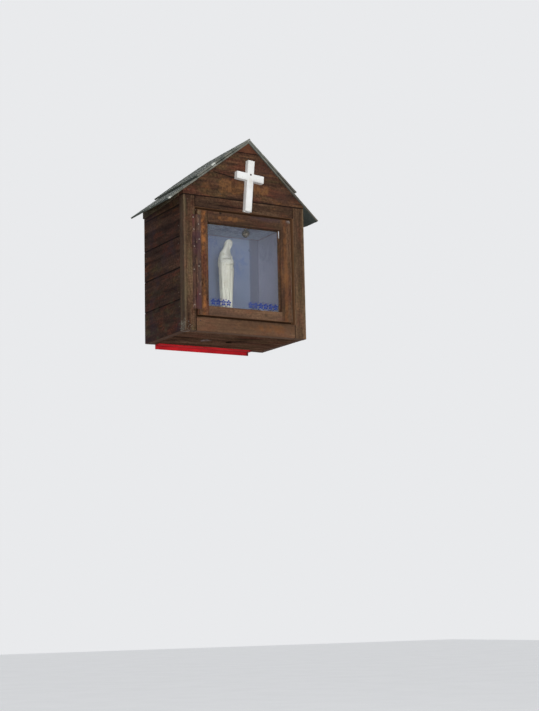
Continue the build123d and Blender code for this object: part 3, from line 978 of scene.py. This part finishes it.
def door_stops():
    """Thin strips that close the gap round the door from behind, clear of its swing."""
    near, far = DOOR_BACK + 5.6, DOOR_BACK + 9
    inner_left, inner_right = -112, 111
    for word, left, right, low, high in (
        ("left", -LINING_EDGE, inner_left, FLOOR_TOP, CEILING),
        ("right", inner_right, LINING_EDGE, FLOOR_TOP, CEILING),
        ("low", inner_left, inner_right, FLOOR_TOP, DOOR_LOW + 5),
        ("high", inner_left, inner_right, CEILING - 12, CEILING),
    ):
        slat(
            "door_stop_" + word, (left, near, low), (right, far, high), "rail",
        )


def lining_screws():
    """The four screws into the trunk, painted over with the lining."""
    spots = []
    for height in (50, 235):
        for right in (-110, 110):
            spots.append(((right, -18, height), (0, -1, 0)))
    drive("lining_screws", spots, "back lining", radius=4.2, rise=1)


def join_rings(form, rings):
    """Joins rings of points upwards; a ring may also be one point.

    Each face is made by itself, so that its corners start at the same place in every run.
    """
    steps = max(len(ring) for ring in rings)
    for below, above in zip(rings, rings[1:]):
        for first in range(steps):
            second = (first + 1) % steps
            corners = (
                below[first % len(below)], below[second % len(below)],
                above[second % len(above)], above[first % len(above)],
            )
            form.faces.new(list(dict.fromkeys(corners)))


def turned(form, outline, steps):
    """Turns an outline of radius and height about Z; radius 0 is one point on the axis."""
    rings = []
    for radius, height in outline:
        turns = [2 * pi * step / steps for step in range(steps if radius else 1)]
        rings.append([form.verts.new((radius * cos(t), radius * sin(t), height)) for t in turns])
    join_rings(form, rings)


def turned_knob():
    """The knob as one smooth turned form, with its neck let into the ceiling."""
    form = bmesh.new()
    points = []
    steps = 14
    for step in range(steps + 1):
        turn = pi * step / steps * 0.855
        points.append((KNOB_RADIUS * sin(turn), -KNOB_RADIUS * cos(turn)))
    points += [(3.6, 8.9), (3.7, 10.2), (4.3, KNOB_TOP), (0, KNOB_TOP)]
    turned(form, points, 32)
    bmesh.ops.translate(form, vec=(KNOB_RIGHT, KNOB_NEAR, CEILING - KNOB_TOP), verts=form.verts)
    seat("turned_knob", form, "knob", "case", replaces=["ceiling_knob"])


def ring_form(form, sections, segments):
    """Joins oval rings upwards; each has a share of the height, half width, half depth, ahead."""
    rings = []
    for share, wide, deep, ahead in sections:
        shape = moved(0, -ahead, share * FIGURE_HEIGHT) @ sized(wide, deep, 1)
        rings.append(add(
            form, bmesh.ops.create_circle, shape, cap_ends=False, segments=segments, radius=1
        ))
    join_rings(form, rings)
    form.faces.new(rings[0])
    form.faces.new(rings[-1])
    return [vert for ring in rings for vert in ring]


def smooth_steps(sections, parts):
    """Rings between the given ones, on a smooth curve through them."""
    result = []
    count = len(sections)
    for number in range(count - 1):
        before = sections[max(number - 1, 0)]
        first, second = sections[number], sections[number + 1]
        after = sections[min(number + 2, count - 1)]
        for part in range(parts):
            t = part / parts
            result.append(tuple(
                0.5 * (2 * b + (c - a) * t + (2 * a - 5 * b + 4 * c - d) * t * t
                       + (3 * b - a - 3 * c + d) * t ** 3)
                for a, b, c, d in zip(before, first, second, after)
            ))
    result.append(sections[-1])
    return result


ROBE = [
    (0, 17.5, 15, 1),
    (0.05, 15.2, 13, 0.5),
    (0.13, 14, 11.8, 0.5),
    (0.30, 15.4, 13, 1),
    (0.47, 17.2, 14.6, 1.4),
    (0.61, 18.8, 15.6, 1.6),
    (0.68, 17, 13.4, 0.5),
    (0.80, 12, 9, 0),
]
CAPE = [
    (0.640, 18.6, 14.4, -0.6),
    (0.668, 18.9, 14.4, -0.8),
    (0.712, 18.6, 13.8, -1.2),
    (0.753, 17.5, 12.2, -1.8),
    (0.818, 15.2, 9.8, -0.8),
    (0.850, 11.6, 8.4, 0.2),
    (0.880, 9, 7.8, 2.6),
    (0.910, 8.6, 8.4, 5.6),
    (0.940, 8.9, 9.3, 8.2),
    (0.966, 8.4, 9, 9.6),
    (0.986, 6.2, 6.8, 10.2),
    (1, 2, 2.4, 10.4),
]
FACE = [
    (0.876, 2.6, 2.6, 10),
    (0.886, 4, 4, 11.2),
    (0.905, 5.4, 5.2, 12.4),
    (0.930, 5.9, 5.6, 13.4),
    (0.952, 5.4, 5, 13.8),
    (0.966, 3.6, 3.6, 13.4),
]


def fold(vert, count, depth, start=0):
    """Moves a point of the robe out or in, so that folds run down it."""
    turn = atan2(vert.co.y, vert.co.x)
    swell = depth * cos(count * turn + start + 0.5 * sin(2 * turn + vert.co.z * 0.02))
    vert.co.x += swell * cos(turn)
    vert.co.y += swell * sin(turn)


def front_of(sections, right, height):
    """Where the front of an oval form lies, this far right and high."""
    share = height / FIGURE_HEIGHT
    for below, above in zip(sections, sections[1:]):
        if below[0] <= share <= above[0]:
            t = (share - below[0]) / (above[0] - below[0])
            wide, deep, ahead = (p + (q - p) * t for p, q in zip(below[1:], above[1:]))
            return -ahead - deep * max(0, 1 - (right / wide) ** 2) ** 0.5
    return 0


def veiled_figure():
    """The statue's figure: robe with folds, cape and veil, bowed head, joined hands.

    The parts are drawn one into the other and then cast as one skin by a fine remesh.
    """
    form = bmesh.new()
    robe = ring_form(form, smooth_steps(ROBE, 4), 72)
    for vert in robe:
        share = vert.co.z / FIGURE_HEIGHT
        strength = min(1, max(0, (0.74 - share) / 0.5))
        fold(vert, 13, 0.9 * strength)
        fold(vert, 5, 0.5 * strength, 1)
    cape = ring_form(form, smooth_steps(CAPE, 4), 64)
    for vert in cape:
        share = vert.co.z / FIGURE_HEIGHT
        strength = min(1, max(0, (0.86 - share) / 0.2))
        fold(vert, 7, 0.55 * strength, 0.6)
        if share < 0.70 and vert.co.y < 0:
            lift = (0.70 - share) * FIGURE_HEIGHT
            middle = max(0, 1 - abs(vert.co.x) / 12)
            vert.co.z += lift * middle
    ring_form(form, smooth_steps(FACE, 3), 32)

    def bead(place, size, tilt=0):
        shape = moved(*place) @ Matrix.Rotation(radians(tilt), 4, "X") @ sized(*size)
        add(form, bmesh.ops.create_icosphere, shape, subdivisions=3, radius=1)

    # a calm, plain face: brow, nose, cheeks, lips and chin, small and even
    bead((0, -18.8, 160), (0.9, 1.5, 2.3), 12)
    bead((0, -19.7, 158.2), (1.25, 1, 0.8))
    for side in (-1, 1):
        bead((side * 2.3, -17.8, 162.2), (1.7, 1, 0.6))
        bead((side * 3, -16.6, 157.4), (1.8, 1.4, 1.8))
        bead((side * 2.2, -18, 160.3), (1, 0.5, 0.45))
    bead((0, -18, 155.7), (1.6, 0.9, 0.45))
    bead((0, -17.5, 154.5), (1.2, 0.9, 0.5))
    bead((0, -15.8, 152.2), (1.7, 1.5, 1.4))

    # sleeves from the elbows to the hands, with wide drooping cuffs, and the hands joined
    for side in (-1, 1):
        for part in range(12):
            t = part / 11
            girth = 5.6 - 1.7 * t
            place = (side * (15 - 12 * t), -(4 + 11.6 * t), 118 + 2.4 * t)
            bead(place, (girth, girth * 0.95, girth * (1.1 + 0.25 * t)))
        for part in range(6):
            right = 2.6 + 1.3 * part
            bead((side * right, -15.6 + 0.8 * part, 116.4 - 0.25 * part), (1.7, 2.4, 3.6), -12)
        for part in range(9):
            t = part / 8
            place = (side * (1.35 - 0.75 * t), -(16.6 + 2.2 * t), 119.5 + 10.5 * t)
            bead(place, (1.35 - 0.6 * t, 2.1 - 0.8 * t, 1.9), 12)

    # the veil's rolled edge, round the face and down both sides to the elbows
    for part in range(17):
        turn = pi * part / 16
        bead(
            (6.6 * cos(turn), -(12.6 + 1.2 * sin(turn)), 158 + 7.4 * sin(turn)),
            (1.3, 2.2, 1.3),
        )
    edge = [(6.6, 158), (6, 152.5), (5.6, 148), (8, 139), (11, 130), (15.4, 118)]
    for first, second in zip(edge, edge[1:]):
        for part in range(12):
            t = part / 12
            right = first[0] + (second[0] - first[0]) * t
            height = first[1] + (second[1] - first[1]) * t
            near = front_of(CAPE, right, height)
            for side in (-1, 1):
                bead((side * right, near + 0.1, height), (0.85, 0.9, 0.9))

    spin = Matrix.Rotation(radians(STATUE_TURN), 4, "Z")
    bmesh.ops.transform(form, matrix=spin, verts=form.verts)
    place = (0, STATUE_NEAR, FLOOR_TOP + PEDESTAL_HEIGHT - 0.4)
    bmesh.ops.translate(form, vec=place, verts=form.verts)
    piece = seat(
        "veiled_figure", form, "statue", "case", replaces=["statue"]
    )
    skin = piece.modifiers.new("cast skin", "REMESH")
    skin.mode = "VOXEL"
    skin.voxel_size = 0.0005
    skin.use_smooth_shade = True
    soften = piece.modifiers.new("soften", "SMOOTH")
    soften.factor = 0.5
    soften.iterations = 2


def pedestal():
    """The statue's round turned foot."""
    form = bmesh.new()
    outline = [
        (0, 0), (24.2, 0), (25.4, 0.3), (26, 1), (26, 5.6), (25.6, 6.4), (24.6, 7),
        (21.4, 7.4), (20.2, 8), (19.6, 9.2), (19.1, 10.6), (19, 12), (19, 34),
        (19.2, 35.4), (19.6, 36.6), (21, 38.4), (21.3, 39.2), (21.3, 42.2), (20.9, 43.4),
        (20, 44), (0, 44),
    ]
    turned(form, outline, 96)
    bmesh.ops.translate(form, vec=(0, STATUE_NEAR, FLOOR_TOP), verts=form.verts)
    seat("pedestal", form, "statue", "case")


def glass_ornament(name, left, right):
    """A short row of small five-petalled flowers and dots, painted on the front of the glass."""
    form = bmesh.new()
    low, high = 58.5, 76
    middle = (low + high) / 2
    count = max(3, round((right - left) / 13))
    pitch = (right - left) / count

    def dab(x, z, wide, tall, tilt):
        shape = (
            moved(x, GLASS_FRONT - 0.12, z) @ Matrix.Rotation(tilt, 4, "Y")
            @ Matrix.Rotation(pi / 2, 4, "X") @ sized(wide, tall, 1)
        )
        add(form, bmesh.ops.create_circle, shape, cap_ends=True, segments=16, radius=1)

    for number in range(count):
        x = left + (number + 0.5) * pitch
        start = jitter(0.2)
        for petal in range(5):
            turn = start + 2 * pi * petal / 5
            dab(x + 3.7 * sin(turn), middle + 4.6 * cos(turn), 2.1, 2.5, turn)
        dab(x, middle, 1.1, 1.1, 0)
        if number:
            dab(x - pitch / 2, low + 1.4, 1.3, 1.3, 0)
            dab(x - pitch / 2, high - 1.2, 1.1, 1.1, 0)
    piece = seat(name, form, "blue", "door", smooth=False)
    wall = piece.modifiers.new("paint thickness", "SOLIDIFY")
    wall.thickness = 0.0002
    wall.offset = 0


def putty_highlight_smear():
    """A white smear on the pane at its top right corner: a painted highlight on the glass's edge,
    made as putty.
    """
    form = bmesh.new()
    for step in range(9):
        place = moved(89.4 + jitter(0.5), GLASS_FRONT - 0.1, 225.5 + 1.7 * step)
        shape = sized(0.9 + jitter(0.3), 0.5, 1.8 + jitter(0.5))
        add(form, bmesh.ops.create_icosphere, place @ shape, subdivisions=2, radius=1)
    seat("putty_highlight_smear", form, "putty", "door")


def corner_web():
    """Old web and dust, strung across the low front left corner."""
    form = bmesh.new()

    def thread(start, end, sag, radius):
        start, end = Vector(start), Vector(end)
        steps = 6
        points = []
        for step in range(steps + 1):
            t = step / steps
            point = start.lerp(end, t)
            point.z -= sag * 4 * t * (1 - t)
            points.append(point)
        for first, second in zip(points, points[1:]):
            way = second - first
            place = Matrix.Translation((first + second) / 2) @ facing(way)
            bmesh.ops.create_cone(
                form, cap_ends=True, segments=5, radius1=radius, radius2=radius,
                depth=way.length * 1.04, matrix=place,
            )

    for number in range(16):
        low = chance.uniform(-1, 14)
        thread(
            (-151 + jitter(0.6), -190 + chance.uniform(0, 16), low),
            (-146 + chance.uniform(0, 14), -195.8, low + chance.uniform(-2, 9)),
            chance.uniform(0.2, 1.6), chance.uniform(0.12, 0.3),
        )
    seat("corner_web", form, "web", "case")


wall_nails()
back_nails()
front_nails()
cross_nail()
hinge_screws()
roof()
roof_nails()
eave_battens()
door_stops()
lining_screws()
turned_knob()
veiled_figure()
pedestal()
glass_ornament("ornament_left", -83, -33)
glass_ornament("ornament_right", 9, 84)
putty_highlight_smear()
corner_web()


# ---- floor, lamps and camera; these are in metres

LAMP_AIM = Vector((0, -0.1, 0.05))
PALE_LIGHT = (0.97, 0.98, 1, 1)
SEEN_FLOOR = 0.4
SEEN_WORLD = 0.84


def pale_seen(tree, socket, plain, seen_level):
    """Gives a socket one strength for light, and another where it is seen or mirrored."""
    way = tree.nodes.new("ShaderNodeLightPath")
    seen = way.outputs["Is Camera Ray"]
    for ray in ("Is Glossy Ray", "Is Transmission Ray"):
        either = tree.nodes.new("ShaderNodeMath")
        either.operation = "MAXIMUM"
        tree.links.new(seen, either.inputs[0])
        tree.links.new(way.outputs[ray], either.inputs[1])
        seen = either.outputs[0]
    strength = tree.nodes.new("ShaderNodeMapRange")
    strength.inputs["To Min"].default_value = plain
    strength.inputs["To Max"].default_value = seen_level
    tree.links.new(seen, strength.inputs["Value"])
    tree.links.new(strength.outputs[0], socket)


def plain_floor():
    form = bmesh.new()
    bmesh.ops.create_grid(form, x_segments=1, y_segments=1, size=14)
    bmesh.ops.translate(form, vec=(0, 4, -1.3), verts=form.verts)
    mesh = bpy.data.meshes.new("plain_floor")
    form.to_mesh(mesh)
    form.free()
    finish = Finish("floor paint", 0.9, 0.1)
    grain = finish.cloud(3, 3, 3, detail=2)
    finish.paint(finish.stops(grain, (0.3, (0.50, 0.51, 0.52, 1)), (0.7, (0.54, 0.55, 0.56, 1))))
    pale_seen(finish.tree, finish.surface.inputs["Emission Strength"], 0, SEEN_FLOOR)
    finish.surface.inputs["Emission Color"].default_value = PALE_LIGHT
    mesh.materials.append(finish.material)
    floor_piece = bpy.data.objects.new("plain_floor", mesh)
    bpy.context.scene.collection.objects.link(floor_piece)


def pale_world(level):
    """Even light from all round; seen directly or in gloss and glass it is a pale ground."""
    world = bpy.data.worlds.new("pale world")
    bpy.context.scene.world = world
    world.use_nodes = True
    ground = world.node_tree.nodes["Background"]
    ground.inputs["Color"].default_value = PALE_LIGHT
    pale_seen(world.node_tree, ground.inputs["Strength"], level, SEEN_WORLD)


def soft_lamp(name, spot, size, power):
    lamp = bpy.data.lights.new(name, "AREA")
    lamp.shape = "SQUARE"
    lamp.size = size
    lamp.energy = power
    stand = bpy.data.objects.new(name, lamp)
    stand.location = spot
    stand.visible_transmission = False
    stand.rotation_euler = (LAMP_AIM - Vector(spot)).to_track_quat("-Z", "Y").to_euler()
    bpy.context.scene.collection.objects.link(stand)


def photo_camera():
    data = bpy.data.cameras.new("photo camera")
    data.lens = 77.62
    data.clip_start = 0.05
    data.clip_end = 60
    camera = bpy.data.objects.new("photo camera", data)
    camera.location = (-1.5877, -3.0350, -0.7596)
    camera.rotation_euler = (radians(99.436), radians(1.182), radians(-29.850))
    bpy.context.scene.collection.objects.link(camera)
    bpy.context.scene.camera = camera


plain_floor()
pale_world(0.46)
soft_lamp("front lamp", (-1.3, -3.1, -0.45), 0.8, 64)
soft_lamp("top lamp", (0.5, -0.5, 2.9), 1.8, 40)
soft_lamp("back lamp", (0.9, 3, 0.9), 1.6, 26)
photo_camera()
bpy.context.scene.view_settings.view_transform = "Standard"
